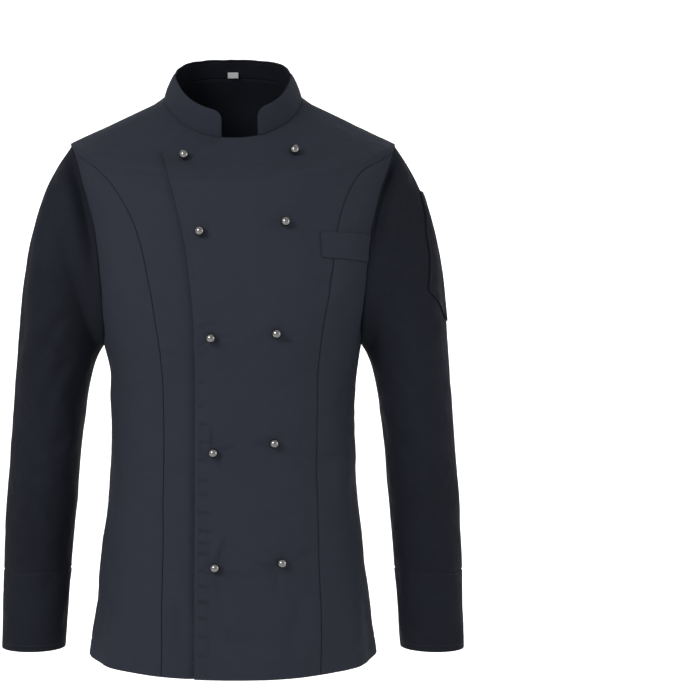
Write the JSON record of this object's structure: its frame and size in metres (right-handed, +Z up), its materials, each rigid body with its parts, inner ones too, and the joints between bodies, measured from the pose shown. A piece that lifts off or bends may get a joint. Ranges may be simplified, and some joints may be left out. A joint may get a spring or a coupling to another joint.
{
  "type": "chef jacket",
  "caption": "Hollow women's chef jacket, filled out with no wearer: lapped front, stand collar, princess seams, long sleeves with deep cuffs, ball studs.",
  "frame": {"origin": "middle of the neck at the level of the neck points, where the shoulder seams meet the collar", "axes": "+Z up the body, -Y the way the wearer faces, +X to the wearer's left"},
  "size_m": [0.541, 0.2528, 0.7136],
  "materials": {
    "navy_twill": "matt polyester-cotton twill, very dark navy",
    "navy_twill_double": "matt twill, doubled, very dark navy",
    "white_label_tape": "matt woven tape, white",
    "polished_steel": "polished metal"
  },
  "bodies": {
    "root": {"back": "navy_twill", "front_right": "navy_twill", "front_left": "navy_twill", "side_front_right": "navy_twill", "side_front_left": "navy_twill", "chest_pocket_welt": "navy_twill", "sleeve_pen_pocket": "navy_twill", "sleeve_right": "navy_twill", "cuff_right": "navy_twill", "sleeve_left": "navy_twill", "cuff_left": "navy_twill", "stand_collar": "navy_twill_double", "size_label": "white_label_tape", "stud_right_1": "polished_steel", "stud_right_2": "polished_steel", "stud_right_3": "polished_steel", "stud_right_4": "polished_steel", "stud_right_5": "polished_steel", "stud_left_1": "polished_steel", "stud_left_2": "polished_steel", "stud_left_3": "polished_steel", "stud_left_4": "polished_steel", "stud_left_5": "polished_steel"}
  },
  "joints": []
}
